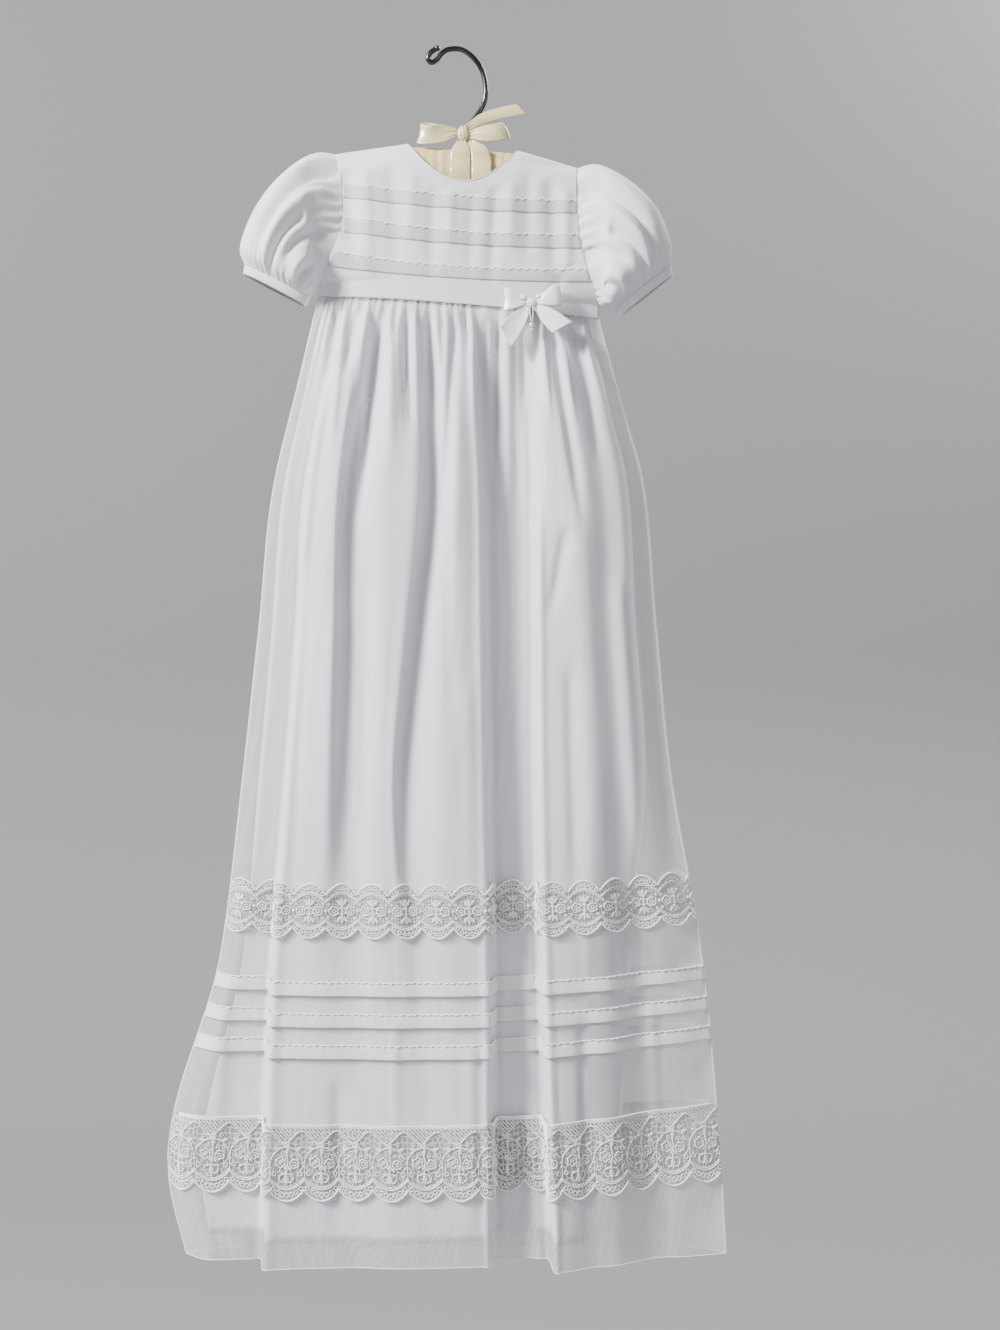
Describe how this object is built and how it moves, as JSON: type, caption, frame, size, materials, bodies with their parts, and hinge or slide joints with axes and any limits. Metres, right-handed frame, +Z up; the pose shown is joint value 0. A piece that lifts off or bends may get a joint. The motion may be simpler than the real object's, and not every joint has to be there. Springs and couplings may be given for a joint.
{
  "type": "christening gown on a padded hanger",
  "caption": "Long christening gown with puff sleeves, tucked bodice, sheer lace-trimmed overskirt and lining, hanging on a padded hanger with a wire hook.",
  "frame": {"origin": "inner top of the hanger's hook, where a rail or wall hook holds it", "axes": "+X to the right as the front is seen, +Y from the front of the gown to its back, +Z up along the gown"},
  "size_m": [0.4334, 0.0627, 0.9412],
  "materials": {
    "cloth": "matt white plain-woven cotton blend",
    "sheer": "sheer white organza with a slight sheen",
    "lace": "off-white embroidered lace",
    "white_satin": "white satin ribbon",
    "ivory_satin": "ivory satin ribbon",
    "pad_cloth": "cream padded cloth, gathered",
    "hook_wire": "dark bright-plated wire",
    "button": "white pearl-like button"
  },
  "bodies": {
    "root": {"bodice_front": "cloth", "bodice_back_left": "cloth", "bodice_back_right": "cloth", "back_button_1": "button", "back_button_2": "button", "back_button_3": "button", "sleeve_left": "cloth", "sleeve_right": "cloth", "cuff_left": "cloth", "cuff_right": "cloth", "skirt_front": "sheer", "skirt_back": "sheer", "lining_front": "cloth", "lining_back": "cloth", "skirt_tuck_upper_front": "sheer", "skirt_tuck_middle_front": "sheer", "skirt_tuck_lower_front": "sheer", "skirt_tuck_upper_back": "sheer", "skirt_tuck_middle_back": "sheer", "skirt_tuck_lower_back": "sheer", "narrow_lace_front": "lace", "narrow_lace_back": "lace", "wide_lace_front": "lace", "wide_lace_back": "lace", "bow_knot": "white_satin", "bow_loop_left": "white_satin", "bow_loop_right": "white_satin", "bow_tail_left": "white_satin", "bow_tail_right": "white_satin", "hanger_hook": "hook_wire", "hanger_pad": "pad_cloth", "hanger_bow_knot": "ivory_satin", "hanger_bow_loop_left": "ivory_satin", "hanger_bow_loop_right": "ivory_satin", "hanger_bow_tail_up": "ivory_satin", "hanger_bow_tail_left": "ivory_satin", "hanger_bow_tail_right": "ivory_satin"}
  },
  "joints": []
}
